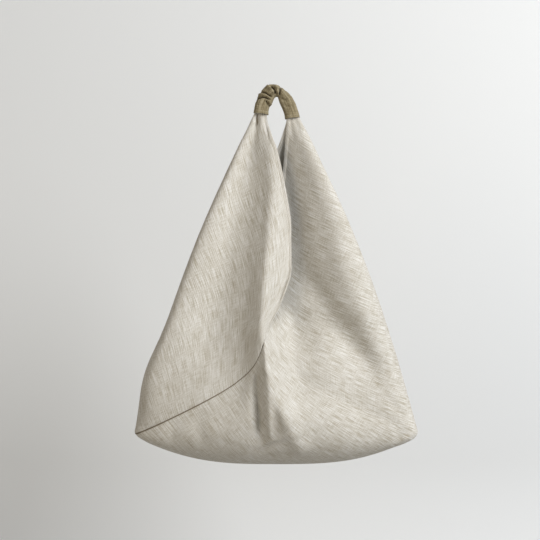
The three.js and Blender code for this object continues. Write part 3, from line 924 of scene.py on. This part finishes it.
def linen_material(name, dark, middle, light, seam, slub_mm, strength):
    material, tree = new_material(name)
    place = add(tree, "ShaderNodeUVMap", uv_map="cut").outputs["UV"]
    slubs, streaks = linen_streaks(tree, place, slub_mm)
    tone = add(tree, "ShaderNodeValToRGB", {"Fac": streaks})
    ramp = tone.color_ramp
    ramp.elements[0].position = DARK_AT
    ramp.elements[0].color = linear(dark)
    ramp.elements[1].position = LIGHT_AT
    ramp.elements[1].color = linear(light)
    ramp.elements.new(MIDDLE_AT).color = linear(middle)
    # The mark mixes in the last colour: it darkens the seam lines and paints shade into the bag's pleats and
    # the handle's creases.
    marked = add(tree, "ShaderNodeAttribute", attribute_name="seam_and_shade_mark")
    seam_and_shade_range = {"Value": marked.outputs["Fac"], "From Min": SEAM_AND_SHADE_FROM, "From Max": SEAM_AND_SHADE_FULL}
    seam_and_shade_amount = add(tree, "ShaderNodeMapRange", seam_and_shade_range)
    with_seam_and_shade = {0: seam_and_shade_amount.outputs[0], 6: tone.outputs["Color"], 7: linear(seam)}
    coloured = add(tree, "ShaderNodeMix", with_seam_and_shade, data_type="RGBA")
    relief = {"Height": linen_relief(tree, place, streaks), "Strength": strength, "Distance": RELIEF_MM * MM}
    bump = add(tree, "ShaderNodeBump", relief)
    rough = add(tree, "ShaderNodeMath", {0: slubs, 1: ROUGH_RANGE, 2: ROUGH_LEAST}, operation="MULTIPLY_ADD")
    shader = add(
        tree,
        "ShaderNodeBsdfPrincipled",
        {
            "Base Color": coloured.outputs[2],
            "Roughness": rough.outputs[0],
            "Normal": bump.outputs[0],
            "IOR": 1.5,
            "Specular IOR Level": 0.25,
            "Sheen Weight": 0.12,
            "Sheen Roughness": 0.5,
        },
    )
    add(tree, "ShaderNodeOutputMaterial", {"Surface": shader.outputs[0]})
    print(name, len(tree.nodes), "nodes")
    return material


# On the bag the last colour darkens the seam lines and is the painted shade in the pleats.
oat_linen = linen_material(
    "oat_linen", "#b0aa9c", "#cccac3", "#e2e2e0", "#6f6452", slub_mm=1.1, strength=0.35
)
# On the handle the last colour is only painted shade, for the depths of the creases.
khaki_linen = linen_material(
    "khaki_linen", "#675d45", "#8b8167", "#aaa188", "#3f3626", slub_mm=1.3, strength=0.5
)

# %% [markdown]
# ### Thread
# The stitches are of linen thread, spun rounder and a little glossier than the cloth, with pale fibres
# standing out of it. Its fuzz is far finer than a stitch, so it is drawn at about 1 mm.

# %% Linen thread
FUZZ_MM = 1.111

linen_thread, tree = new_material("linen_thread")
grain = add(tree, "ShaderNodeTexCoord")
fuzz = add(tree, "ShaderNodeTexNoise", {"Vector": grain.outputs["Object"], "Scale": 1 / (FUZZ_MM * MM)})
fuzz_tone = add(tree, "ShaderNodeValToRGB", {"Fac": fuzz.outputs["Fac"]})
fuzz_tone.color_ramp.elements[0].color = linear("#b5aa94")
fuzz_tone.color_ramp.elements[1].color = linear("#dcd5c6")
thread_shader = add(
    tree, "ShaderNodeBsdfPrincipled", {"Base Color": fuzz_tone.outputs["Color"], "Roughness": 0.7}
)
add(tree, "ShaderNodeOutputMaterial", {"Surface": thread_shader.outputs[0]})
print("linen_thread", len(tree.nodes), "nodes")

# %% [markdown]
# ## Cloth pieces
# The cloth has real thickness: an outer and an inner face joined round the edge. It is split where it has
# to move apart: the two lips of the mouth are pieces of their own, and their edges against the bag match
# point for point. A Solidify modifier would give the same wall, but the pieces would then shade differently
# where they meet. Here they share the whole cloth's normals.

# %% A new piece with its layout on the cut
def new_piece(name, points, faces, uvs, material, marks=None, face_normals=None):
    mesh = bpy.data.meshes.new(name)
    mesh.from_pydata(points, [], faces)
    layer = mesh.uv_layers.new(name="cut")
    layer.data.foreach_set("uv", np.array(uvs, np.float32).ravel())
    # Each point's mark: the dark seam lines, and painted shade in pleats and creases.
    mark = mesh.attributes.new("seam_and_shade_mark", "FLOAT", "POINT")
    mark.data.foreach_set("value", np.zeros(len(points), np.float32) if marks is None else marks)
    mesh.shade_smooth()
    mesh.materials.append(material)
    if face_normals is not None:
        mesh.normals_split_custom_set(face_normals)
    print(name, len(faces), "faces")
    return put(name, mesh)


# %% Cloth from cells of the strip
CLOTH_THICKNESS = 1.0 * MM
LIP_REACH = 0.105
LIP_TOP_SHARE = 0.74


def cloth_piece(name, chosen, material):
    """A closed piece of cloth from the chosen cells: outer faces, inner faces and the wall round them."""
    ids = np.stack([identity[k] for k in CORNERS], -1)[chosen]
    uv = np.stack([np.stack([U[k], V[k]], -1) for k in CORNERS], -2)[chosen]
    used, local = np.unique(ids, return_inverse=True)
    local = local.reshape(ids.shape)
    point, normal = (values.reshape(-1, 3)[used] for values in (cloth, normals))
    count = len(used)
    points = np.concatenate([point + normal * CLOTH_THICKNESS / 2, point - normal * CLOTH_THICKNESS / 2])
    faces = [tuple(f) for f in local] + [tuple(f[::-1] + count) for f in local]
    uvs = [c for f in uv for c in f] + [c for f in uv for c in f[::-1]]
    shading = [normal[v] for f in local for v in f] + [-normal[v] for f in local for v in f[::-1]]
    owners = {}
    for f, quad in enumerate(local):
        for k in range(4):
            owners.setdefault(frozenset((quad[k], quad[(k + 1) % 4])), []).append((f, k))
    for f, k in [owner[0] for owner in owners.values() if len(owner) == 1]:
        after = (k + 1) % 4
        a, b = local[f][k], local[f][after]
        faces.append((b, a, a + count, b + count))
        uvs += [uv[f][after], uv[f][k], uv[f][k], uv[f][after]]
        out = np.cross(points[a] - points[b], points[a + count] - points[a])
        shading += [out / max(np.linalg.norm(out), TINY)] * 4
    marks = np.tile(seam_and_shade_mark.ravel()[used], 2).astype(np.float32)
    return new_piece(name, points.tolist(), faces, uvs, material, marks, np.array(shading).tolist())


middle_u = (U[:-1, :-1] + U[1:, 1:]) / 2
middle_v = (V[:-1, :-1] + V[1:, 1:]) / 2
in_front_lip = (3 * STRIP - middle_u < LIP_REACH) & (STRIP - middle_v < LIP_TOP_SHARE * STRIP)
in_back_lip = (middle_u < LIP_REACH) & (middle_v < LIP_TOP_SHARE * STRIP)
bag_cloth = cloth_piece("bag_cloth", ~(in_front_lip | in_back_lip), oat_linen)
front_lip_cloth = cloth_piece("front_lip_cloth", in_front_lip, oat_linen)
back_lip_cloth = cloth_piece("back_lip_cloth", in_back_lip, oat_linen)

# %% [markdown]
# ## Where the cloth stays
# Each cloth piece, hem and row of stitches has its placement baked into its mesh, and stays where it was
# laid. For a lip, the axis of its hinge and the way it opens are worked out from the joint, but nothing
# uses them.

# %% Placing the cloth
LIP_SIDE = {"front_lip": 1, "back_lip": -1}
joints = {joint["name"]: joint for joint in frame["joints"]}


def hang(piece):
    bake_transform(piece)


def hinge_lip(piece, lip):
    joint = joints[lip + "_open"]
    axis = Vector(joint["axis"]).normalized()
    open_way = Vector((LIP_SIDE[lip], 0, 0))
    open_way = (open_way - open_way.dot(axis) * axis).normalized()
    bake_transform(piece)


hang(bag_cloth)
hinge_lip(front_lip_cloth, "front_lip")
hinge_lip(back_lip_cloth, "back_lip")
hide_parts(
    "left_peak_panel", "right_peak_panel", "base_panel", "left_tip_bundle", "right_tip_bundle"
)
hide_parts("front_lip")
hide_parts("back_lip")

# %% [markdown]
# ## Turned hems and felled seams
# Inside the free edges lies the turned hem, a flat band of doubled cloth. Inside each sewn diagonal the
# allowance is folded to one side and felled. Both could be modelled as folds of the cloth itself, but a
# fold that tight wants many faces, so they are flat bands that follow the cloth's own grid lines just under
# its inner face.

# %% Lines along an edge
def edge_line(edge, k):
    """Grid indices of the k-th grid line in from an edge."""
    run = np.arange(SPAN + 1)
    inward = np.full(SPAN + 1, k)
    return {
        "right_front": (run, SPAN - inward),
        "left_back": (3 * SPAN - run, inward),
        "front_lip": (3 * SPAN - inward, run),
        "back_lip": (inward, SPAN - run),
        "front_seam": (SPAN + run, SPAN - inward),
        "back_seam": (2 * SPAN - run, inward),
    }[edge]


def steps_between(edge, high, low):
    """The steps along an edge that lie between two heights."""
    z = cloth[edge_line(edge, 0)][:, 2]
    return np.where((z < high) & (z > low))[0]


# %% Where the hems and fells run
MOUTH_INSIDE = 0.006
HEM_ABOVE_VALLEY = 0.016
SAME_PLACE = 1e-6
HEM_TOP = MOUTH_Z + MOUTH_INSIDE
HEM_END = VALLEY_Z + HEM_ABOVE_VALLEY
FELL_START, FELL_STOP = SPAN // 6, SPAN - SPAN // 12
lip_steps = {}
top_steps = {}
for lip in LIP_SIDE:
    across = V[edge_line(lip, 0)]
    up_the_lip = STRIP - across if lip == "front_lip" else across
    in_lip = up_the_lip <= LIP_TOP_SHARE * STRIP + SAME_PLACE
    steps = steps_between(lip, HEM_TOP, HEM_END)
    lip_steps[lip] = steps[in_lip[steps]]
    top_steps[lip] = np.append(steps[~in_lip[steps]], lip_steps[lip][0])
print("hem steps", {lip: (len(top_steps[lip]), len(lip_steps[lip])) for lip in LIP_SIDE})

# %% Bands under the cloth
BAND_GAP = 0.08 * MM


def turn_outward(piece):
    """Turns a closed piece's faces round if its volume comes out negative."""
    mesh = piece.data
    mesh.calc_loop_triangles()
    points = np.array([v.co for v in mesh.vertices])
    tri = np.array([t.vertices[:] for t in mesh.loop_triangles])
    a, b, c = (points[tri[:, k]] for k in range(3))
    if (a * np.cross(b, c)).sum() < 0:
        mesh.flip_normals()


def band(name, edge, rows, thickness, steps):
    """A closed flat band under the cloth, so many grid lines wide, along steps of an edge."""
    lines = [edge_line(edge, k) for k in range(rows)]
    under = CLOTH_THICKNESS / 2 + BAND_GAP
    place = np.stack([cloth[line] for line in lines], 1)[steps]
    facing = np.stack([normals[line] for line in lines], 1)[steps]
    cut = np.stack([np.stack([U[line], V[line]], -1) for line in lines], 1)[steps]
    near, far = place - facing * under, place - facing * (under + thickness)
    ring = np.concatenate([near, far[:, ::-1]], 1)
    ring_uv = np.concatenate([cut, cut[:, ::-1]], 1)
    count, around = ring.shape[:2]
    quads = [
        [(s, k), (s, (k + 1) % around), (s + 1, (k + 1) % around), (s + 1, k)]
        for s in range(count - 1)
        for k in range(around)
    ]
    ends = [[(0, k) for k in reversed(range(around))], [(count - 1, k) for k in range(around)]]
    faces = [tuple(s * around + k for s, k in corners) for corners in quads + ends]
    uvs = [ring_uv[corner] for corners in quads + ends for corner in corners]
    piece = new_piece(name, ring.reshape(-1, 3).tolist(), faces, uvs, oat_linen)
    turn_outward(piece)
    return piece


# %% Hems and fells
HEM_THICKNESS = 0.9 * MM
FELL_THICKNESS = 1.0 * MM
HEM_ROWS = 7
FELL_ROWS = 8

hems = {}
for edge in ("right_front", "left_back"):
    steps = steps_between(edge, HEM_TOP, HEM_END)
    hems[edge] = band(edge + "_hem_band", edge, HEM_ROWS, HEM_THICKNESS, steps)
    hang(hems[edge])
    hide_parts(edge + "_hem")
for lip in LIP_SIDE:
    hems[lip] = band(lip + "_hem_band", lip, HEM_ROWS, HEM_THICKNESS, lip_steps[lip])
    hinge_lip(hems[lip], lip)
    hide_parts(lip + "_hem")
    hems[lip + "_top"] = band(lip + "_hem_top", lip, HEM_ROWS, HEM_THICKNESS, top_steps[lip])
    hang(hems[lip + "_top"])
fells = {}
for seam in ("front_seam", "back_seam"):
    steps = np.arange(FELL_START, FELL_STOP)
    fells[seam] = band(seam + "_fell_band", seam, FELL_ROWS, FELL_THICKNESS, steps)
    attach(fells[seam], "bag")
    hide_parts(seam + "_fell")

# %% [markdown]
# ## The handle
# The handle is a sleeve of heavier khaki linen. Its ends are smooth cuffs over the peaks' tips, and its
# middle is bunched where it bends under the bag's weight. A tube swept along an arch would be equally thick
# all the way. A bunched sleeve isn't, so it is lofted through ribs instead, each drawn from the outside of
# the arch to its inside.

# %% Ribs of the handle, from the outside of the arch to its inside, (x, z) each, in millimetres
RIBS = np.array(
    [
        [(-41.0, -29.5), (-14.5, -33.0)],
        [(-39.8, -23.0), (-14.6, -27.0)],
        [(-38.4, -15.0), (-13.0, -21.0)],
        [(-36.4, -7.5), (-9.8, -16.0)],
        [(-33.0, -0.5), (-7.6, -11.6)],
        [(-28.6, 7.0), (-6.0, -7.6)],
        [(-23.0, 14.0), (-4.6, -4.6)],
        [(-16.0, 19.2), (-3.0, -2.6)],
        [(-8.0, 20.8), (-1.4, -1.6)],
        [(0.6, 19.4), (0.4, -1.4)],
        [(8.6, 15.0), (1.8, -2.4)],
        [(16.8, 8.6), (2.8, -5.6)],
        [(24.0, 1.6), (4.0, -9.8)],
        [(29.6, -6.4), (6.0, -14.8)],
        [(33.6, -15.0), (8.8, -20.8)],
        [(36.6, -24.0), (11.6, -27.8)],
        [(39.0, -31.2), (13.4, -33.8)],
        [(40.4, -37.4), (14.2, -40.6)],
    ]
) * MM
STEPS_PER_RIB = 40
ARCH_STEPS = 300


def arch_ribs():
    """Outer and inner ends of fine ribs, evenly spaced along the arch, with their running length."""
    knots = np.arange(len(RIBS))
    fine = np.linspace(0, len(RIBS) - 1, STEPS_PER_RIB * len(RIBS))
    ends = [[one_curve(knots, RIBS[:, e, c], fine) for c in (0, 1)] for e in (0, 1)]
    ends = np.array(ends).transpose(2, 0, 1)
    length = running_length(ends.mean(1))
    at = np.linspace(0, length[-1], ARCH_STEPS)
    return np.stack([points_at(at, length, ends[:, e]) for e in (0, 1)], 1), at


ribs, arch_run = arch_ribs()
arch_length = arch_run[-1]
print("arch", round(arch_length / MM), "mm along its middle")

# %% Sections of the sleeve
AROUND = 112
CUFF_DEEP, CROWN_DEEP = 11.0 * MM, 10.6 * MM
CUFF_SQUARENESS, CROWN_SQUARENESS = 2.5, 2.2
CUFF_RUN, CUFF_FADE = 0.016, 0.026
LEAST_RADIUS = 2 * MM

arch = ribs.mean(1)
reach = (ribs[:, 0] - ribs[:, 1]) / 2
half_plane = np.linalg.norm(reach, axis=1)[:, None]
out_way = reach / half_plane
angle = np.linspace(0, 2 * math.pi, AROUND, endpoint=False)
run, turn = np.meshgrid(arch_run, angle, indexing="ij")
from_mouth = np.minimum(run, arch_length - run)
slim = smooth((from_mouth - CUFF_RUN) / CUFF_FADE)
half_deep = lerp(CUFF_DEEP, CROWN_DEEP, slim)
blunt = lerp(CUFF_SQUARENESS, CROWN_SQUARENESS, slim)
ring_x = np.sign(np.cos(turn)) * np.abs(np.cos(turn)) ** (2 / blunt)
ring_y = np.sign(np.sin(turn)) * np.abs(np.sin(turn)) ** (2 / blunt)


def sleeve_surface(shrink, push):
    a = np.maximum(half_plane - shrink + push, LEAST_RADIUS)
    b = np.maximum(half_deep - shrink + push, LEAST_RADIUS)
    x = arch[:, 0, None] + out_way[:, 0, None] * ring_x * a
    z = arch[:, 1, None] + out_way[:, 1, None] * ring_x * a
    return np.stack([x, -ring_y * b, z], -1)


smooth_sleeve = sleeve_surface(0, 0)
print("sleeve grid", smooth_sleeve.shape[:2])

# %% [markdown]
# ### Gathers
# A gathered sleeve doesn't fold in neat rings. Its creases start on one side, slant towards the inside of
# the arch and meet there, and the cloth between them stands up in uneven rolls. So each crease and roll is
# a line of its own on the front or the back, drawn the same way as the folds of the bag.

# %% Creases and rolls in mm: face (front, back), height, widths left and right, fades, then (x, z)
GATHERS = [
    ("F", -5.0, 1.6, 1.2, 3, 8, [(-40, -11), (-34, -5.0), (-27, -2.6), (-19, -4.0), (-11, -8.5)]),
    ("F", -5.6, 1.2, 1.7, 2, 6, [(-32, 5.5), (-26, 6.2), (-20, 4.2), (-15, 0.6), (-8, -3.6)]),
    ("F", 1.8, 2.6, 3.0, 6, 5, [(-34, 1.4), (-27, 2.0), (-19, 0.2), (-11, -5.2)]),
    ("F", 2.8, 5.0, 1.2, 5, 5, [(-17, 19), (-12, 13.5), (-8, 8.8), (-5, 3.0)]),
    ("F", -5.4, 1.2, 2.8, 2, 4, [(-12, 18.5), (-7.5, 13), (-4, 8.5), (-2.5, 1.5)]),
    ("F", 2.2, 2.2, 2.4, 5, 4, [(-3, 19), (0.4, 12), (0.8, 3)]),
    ("F", -5.2, 1.2, 2.2, 2, 5, [(6.0, 17), (5.0, 9), (3.6, -1)]),
    ("F", -5.0, 2.0, 1.4, 2, 4, [(-18.5, -9.0), (-15.5, -14.5), (-11, -21)]),
    ("F", 1.6, 3.0, 2.0, 4, 4, [(-15, -9.5), (-11.5, -13.5), (-9, -16)]),
    ("F", -2.2, 2.6, 2.2, 4, 6, [(6, -4), (11, -8), (18, -9.5)]),
    ("F", 1.6, 3.5, 4.0, 6, 6, [(9, 4), (16, 0), (24, -6)]),
    ("F", -1.4, 2.0, 2.2, 6, 8, [(13, 11), (17, 2), (19, -4)]),
    ("F", -1.2, 2.0, 3.0, 8, 8, [(10, -18), (20, -20), (30, -18)]),
    ("F", -1.0, 2.0, 1.6, 5, 6, [(-36, -15), (-31, -18), (-25, -17)]),
    ("B", -4.8, 1.4, 1.8, 4, 8, [(39, -14), (33, -8), (25, -6), (16, -8), (8, -12)]),
    ("B", -5.0, 1.6, 1.4, 4, 6, [(28, 1), (22, 1.5), (15, -1.5), (5, -6)]),
    ("B", -4.8, 1.5, 2.2, 4, 5, [(14, 12), (9, 8), (3, 0)]),
    ("B", 2.0, 2.4, 3.0, 5, 5, [(19, 6), (13, 3), (4, -4)]),
    ("B", -4.6, 2.0, 1.4, 4, 5, [(-2, 20), (-1.5, 10), (-1, 0)]),
    ("B", -4.4, 1.8, 1.5, 4, 5, [(-18, 18), (-12, 10), (-4, 0)]),
    ("B", 2.0, 3.0, 2.4, 5, 5, [(-11, 19), (-7, 11), (-3, 1)]),
    ("B", -3.4, 1.6, 2.0, 5, 8, [(-34, 0), (-26, 1), (-12, -6)]),
]
GATHER_TURN = 0.35
GATHER_FROM, GATHER_FADE = 0.008, 0.008

front_share = smooth(np.sin(turn) / GATHER_TURN * 0.5 + 0.5)
gathers_by_face = [
    line_heights(GATHERS, face, smooth_sleeve[..., 0], smooth_sleeve[..., 2]) for face in ("B", "F")
]
gathers = lerp(*gathers_by_face, front_share)
gathers *= smooth((from_mouth - GATHER_FROM) / GATHER_FADE)
print("gathers from", round(gathers.min() / MM, 1), "to", round(gathers.max() / MM, 1), "mm")

# %% The sleeve, outside and inside, with shade painted into its creases
SLEEVE_WALL = 1.5 * MM
SLEEVE_CORE = 5.0 * MM
CORE_FROM, CORE_FADE = 0.012, 0.015
MEAN_RADIUS = 0.0125
CREASE_SHADE_DEPTH = 5.0 * MM
CREASE_SHADE_MOST = 0.8

outer = sleeve_surface(0, gathers)
core = lerp(SLEEVE_WALL, SLEEVE_CORE, smooth((from_mouth - CORE_FROM) / CORE_FADE))
inner = sleeve_surface(core, 0)
rings = np.concatenate([outer, inner[::-1]], 0)
around_at = np.arange(AROUND + 1) / AROUND * (2 * math.pi * MEAN_RADIUS)
run_at = np.concatenate([arch_run, arch_run[::-1]])
sleeve_faces, sleeve_uvs = [], []
for s in range(len(rings)):
    following = (s + 1) % len(rings)
    for k in range(AROUND):
        corners = [(s, k), (following, k), (following, k + 1), (s, k + 1)]
        sleeve_faces.append(tuple(a * AROUND + b % AROUND for a, b in corners))
        sleeve_uvs += [(around_at[b], run_at[a]) for a, b in corners]
# Shade is painted into the creases: the deeper the crease, the more of the dark colour.
crease_shade = np.clip(-gathers / CREASE_SHADE_DEPTH, 0, CREASE_SHADE_MOST)
crease_shade_marks = np.concatenate([crease_shade, np.zeros(inner.shape[:2])]).ravel().astype(np.float32)
sleeve_points = rings.reshape(-1, 3).tolist()
handle_sleeve = new_piece(
    "handle_sleeve", sleeve_points, sleeve_faces, sleeve_uvs, khaki_linen, crease_shade_marks
)
turn_outward(handle_sleeve)
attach(handle_sleeve, "handle")
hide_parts("handle_crown", "left_cuff", "right_cuff")

# %% [markdown]
# ## Stitches
# Stitches repeat along a path, which is work for Geometry Nodes. The path is a chain of points with the
# cloth's normal on each. The tree resamples it at the stitch pitch and sets a small rounded stitch on every
# point, along the path and flat on the cloth.

# %% Stitch tree
def stitch_tree():
    tree = bpy.data.node_groups.new("stitch_row", "GeometryNodeTree")
    face = tree.interface
    face.new_socket("Path", in_out="INPUT", socket_type="NodeSocketGeometry")
    sockets = {
        name: face.new_socket(name, in_out="INPUT", socket_type="NodeSocketFloat")
        for name in ("Pitch", "Length", "Thickness")
    }
    sockets["Thread"] = face.new_socket("Thread", in_out="INPUT", socket_type="NodeSocketMaterial")
    face.new_socket("Stitches", in_out="OUTPUT", socket_type="NodeSocketGeometry")
    given = add(tree, "NodeGroupInput").outputs
    line = add(tree, "GeometryNodeMeshToCurve", {"Mesh": given["Path"]})
    pitched = {"Curve": line.outputs[0], "Length": given["Pitch"]}
    spaced = add(tree, "GeometryNodeResampleCurve", pitched, mode="LENGTH")
    way = add(tree, "GeometryNodeInputTangent")
    lie = add(tree, "GeometryNodeInputNamedAttribute", {"Name": "lie"}, data_type="FLOAT_VECTOR")
    along_path = add(tree, "FunctionNodeAlignRotationToVector", {"Vector": way.outputs[0]}, axis="X")
    turned = {"Rotation": along_path.outputs[0], "Vector": lie.outputs[0]}
    flat_on = add(tree, "FunctionNodeAlignRotationToVector", turned, axis="Z", pivot_axis="X")
    bead = add(tree, "GeometryNodeMeshUVSphere", {"Segments": 6, "Rings": 5, "Radius": 0.5})
    size = add(
        tree, "ShaderNodeCombineXYZ", {0: given["Length"], 1: given["Thickness"], 2: given["Thickness"]}
    )
    stitch = add(tree, "GeometryNodeTransform", {"Geometry": bead.outputs["Mesh"], "Scale": size.outputs[0]})
    row = add(
        tree,
        "GeometryNodeInstanceOnPoints",
        {"Points": spaced.outputs[0], "Instance": stitch.outputs[0], "Rotation": flat_on.outputs[0]},
    )
    real = add(tree, "GeometryNodeRealizeInstances", {"Geometry": row.outputs[0]})
    done = add(tree, "GeometryNodeSetMaterial", {"Geometry": real.outputs[0], "Material": given["Thread"]})
    add(tree, "NodeGroupOutput", {"Stitches": done.outputs[0]})
    return tree, {name: socket.identifier for name, socket in sockets.items()}


stitch_row, stitch_inputs = stitch_tree()
print("stitch tree", len(stitch_row.nodes), "nodes")


# %% Stitches along chains
def stitches(name, chains, pitch, length, thickness):
    """A piece of stitches along chains of (points, normals)."""
    points, edges, lies = [], [], []
    for place, facing in chains:
        first = len(points)
        points += [tuple(p) for p in place]
        lies += [tuple(n) for n in facing]
        edges += [(first + k, first + k + 1) for k in range(len(place) - 1)]
    path = bpy.data.meshes.new(name + "_path")
    path.from_pydata(points, edges, [])
    lie = path.attributes.new("lie", "FLOAT_VECTOR", "POINT")
    lie.data.foreach_set("vector", np.array(lies, np.float32).ravel())
    maker = put(name + "_path", path)
    modifier = maker.modifiers.new("stitches", "NODES")
    modifier.node_group = stitch_row
    values = {"Pitch": pitch, "Length": length, "Thickness": thickness, "Thread": linen_thread}
    for key, value in values.items():
        modifier[stitch_inputs[key]] = value
    evaluated = maker.evaluated_get(bpy.context.evaluated_depsgraph_get())
    mesh = bpy.data.meshes.new_from_object(evaluated)
    mesh.name = name
    mesh.shade_smooth()
    bpy.data.objects.remove(maker)
    print(name, len(mesh.polygons), "faces")
    return put(name, mesh)


# %% Stitches on the hems
STITCH_LINE = 5
HEM_STITCHES = {"pitch": 3.4 * MM, "length": 2.6 * MM, "thickness": 0.55 * MM}


def edge_chain(edge, steps):
    line = edge_line(edge, STITCH_LINE)
    place, facing = cloth[line][steps], normals[line][steps]
    return place + facing * CLOTH_THICKNESS / 2, facing


bag_chains = [edge_chain(e, steps_between(e, HEM_TOP, HEM_END)) for e in ("right_front", "left_back")]
bag_chains += [edge_chain(lip, top_steps[lip]) for lip in LIP_SIDE]
bag_stitches = stitches("bag_stitches", bag_chains, **HEM_STITCHES)
hang(bag_stitches)
lip_stitches = {}
for lip in LIP_SIDE:
    lip_stitches[lip] = stitches(lip + "_stitches", [edge_chain(lip, lip_steps[lip])], **HEM_STITCHES)
    hinge_lip(lip_stitches[lip], lip)

# %% Stitches round the cuffs
CUFF_STITCH_RISE = 4.5 * MM
CUFF_STITCHES = {"pitch": 2.8 * MM, "length": 2.1 * MM, "thickness": 0.5 * MM}

cuff_chains = []
for level in (CUFF_STITCH_RISE, arch_length - CUFF_STITCH_RISE):
    row = int(round(level / arch_length * (ARCH_STEPS - 1)))
    ring = np.concatenate([outer[row], outer[row][:1]])
    middle = ring[:-1].mean(0)
    facing = (ring - middle) / np.linalg.norm(ring - middle, axis=1, keepdims=True)
    cuff_chains.append((ring, facing))
cuff_stitches = stitches("cuff_stitches", cuff_chains, **CUFF_STITCHES)
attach(cuff_stitches, "handle")
